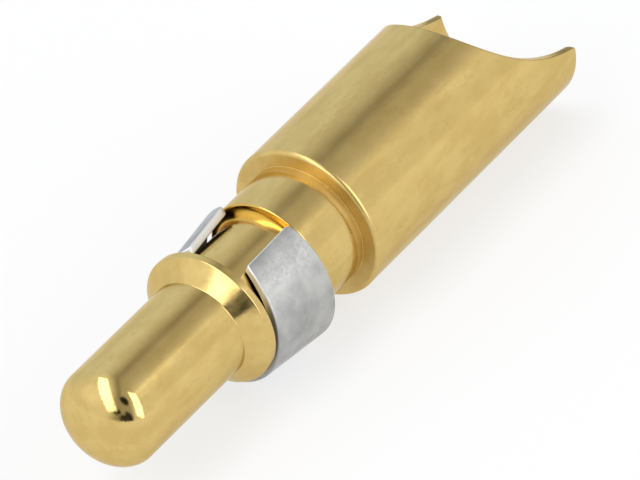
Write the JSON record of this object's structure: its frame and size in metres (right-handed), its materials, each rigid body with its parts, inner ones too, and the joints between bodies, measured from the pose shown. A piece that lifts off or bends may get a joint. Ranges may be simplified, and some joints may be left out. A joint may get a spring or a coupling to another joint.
{
  "type": "high-current pin contact",
  "caption": "Turned contact with a round-nosed mating pin, a coned flange, a neck with a split spring sleeve in its groove, a collar and a scooped solder cup.",
  "frame": {"origin": "on the contact's axis, at the foot of the mating pin, where the flange's cone begins", "axes": "+X along the axis towards the mating tip, +Z out of the open side of the solder cup, which is also the side of the clip's slot"},
  "size_m": [0.0237, 0.0056, 0.0057],
  "materials": {
    "gold_plating": "satin gold plating over a turned copper alloy",
    "spring_steel": "tumbled grey sheet"
  },
  "bodies": {
    "root": {"contact_body": "gold_plating", "retention_clip": "spring_steel"}
  },
  "joints": []
}
